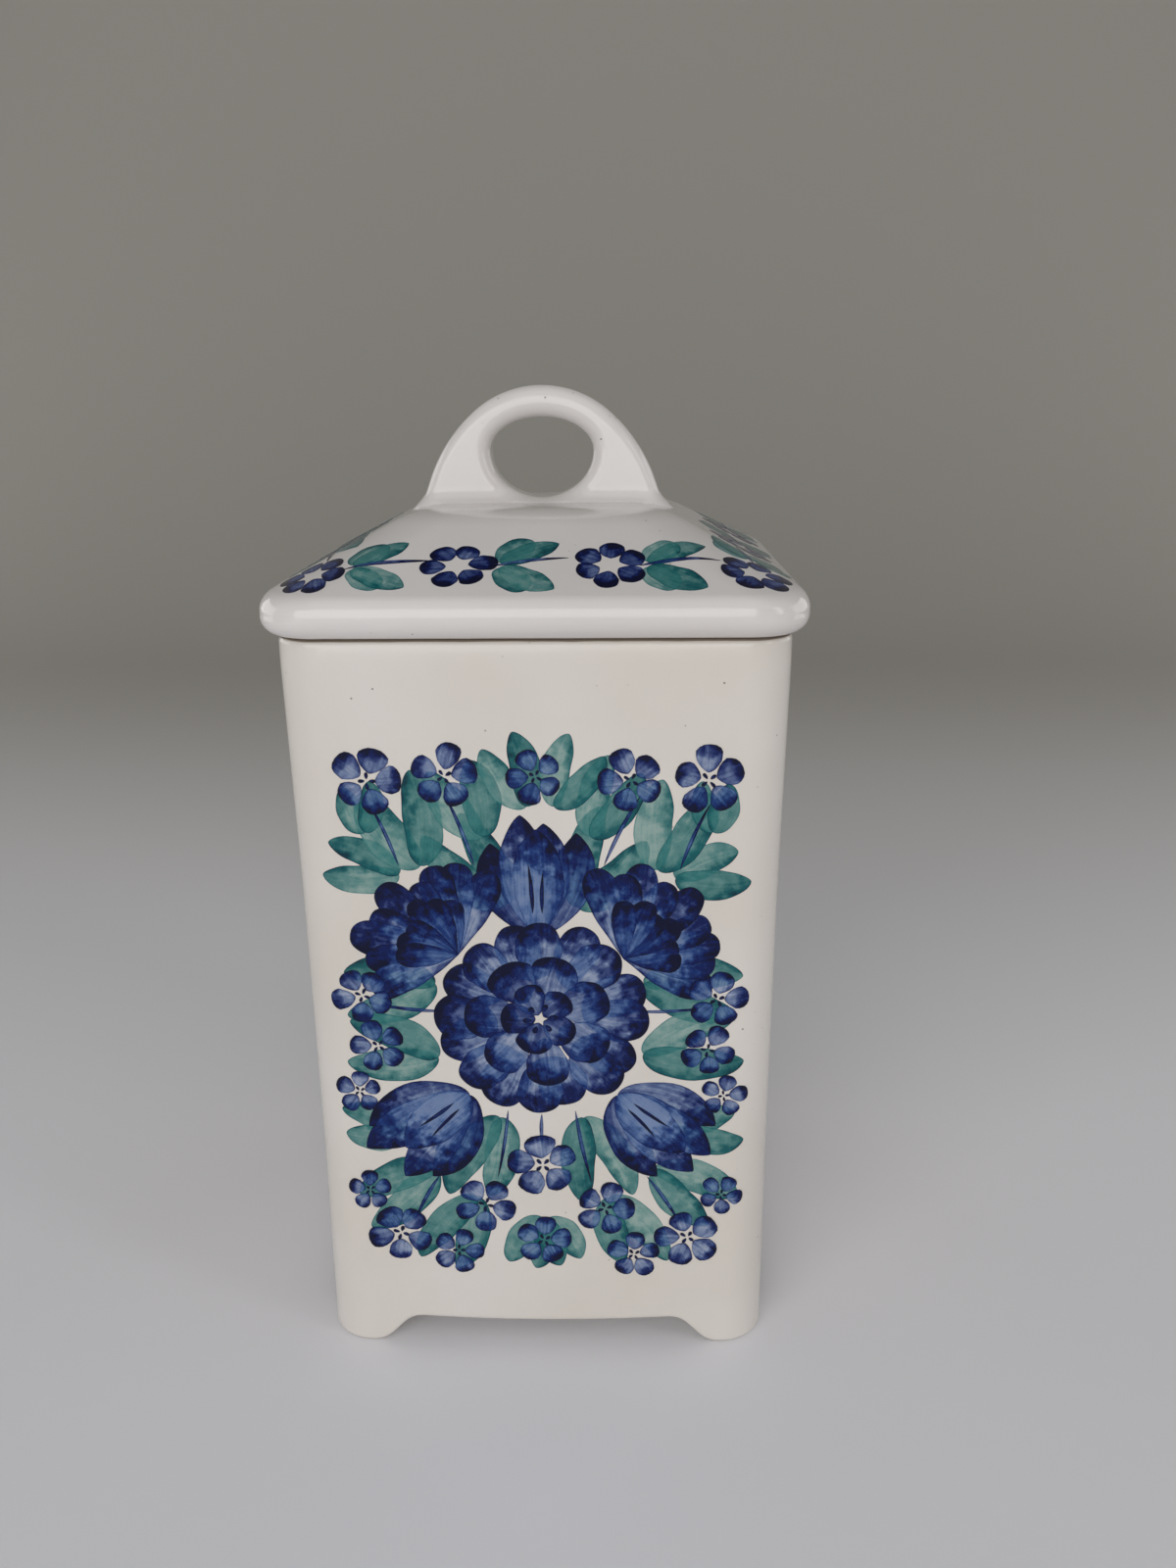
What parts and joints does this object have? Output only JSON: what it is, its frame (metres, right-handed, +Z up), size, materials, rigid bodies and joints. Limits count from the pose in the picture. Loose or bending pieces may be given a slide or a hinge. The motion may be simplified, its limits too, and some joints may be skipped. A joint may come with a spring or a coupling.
{
  "type": "biscuit jar",
  "caption": "Square glazed ceramic biscuit jar on bracket feet, with a painted flower front and a lift-off lid that has a locating flange and a loop handle.",
  "frame": {"origin": "centre of the footprint, on the surface that the jar stands on", "axes": "+Z up along the jar's axis, the painted front faces -Y, +X to the right seen from the front"},
  "size_m": [0.1196, 0.1196, 0.2309],
  "materials": {
    "body_glaze": "gloss",
    "lid_glaze": "gloss",
    "handle_glaze": "gloss"
  },
  "bodies": {
    "jar": {"jar_body": "body_glaze"},
    "lid": {"lid": "lid_glaze", "lid_handle": "handle_glaze"}
  },
  "joints": [
    {"name": "lid_lift", "type": "slide", "parent": "jar", "child": "lid", "axis": [0, 0, 1], "range_m": [0, 0.12]}
  ]
}
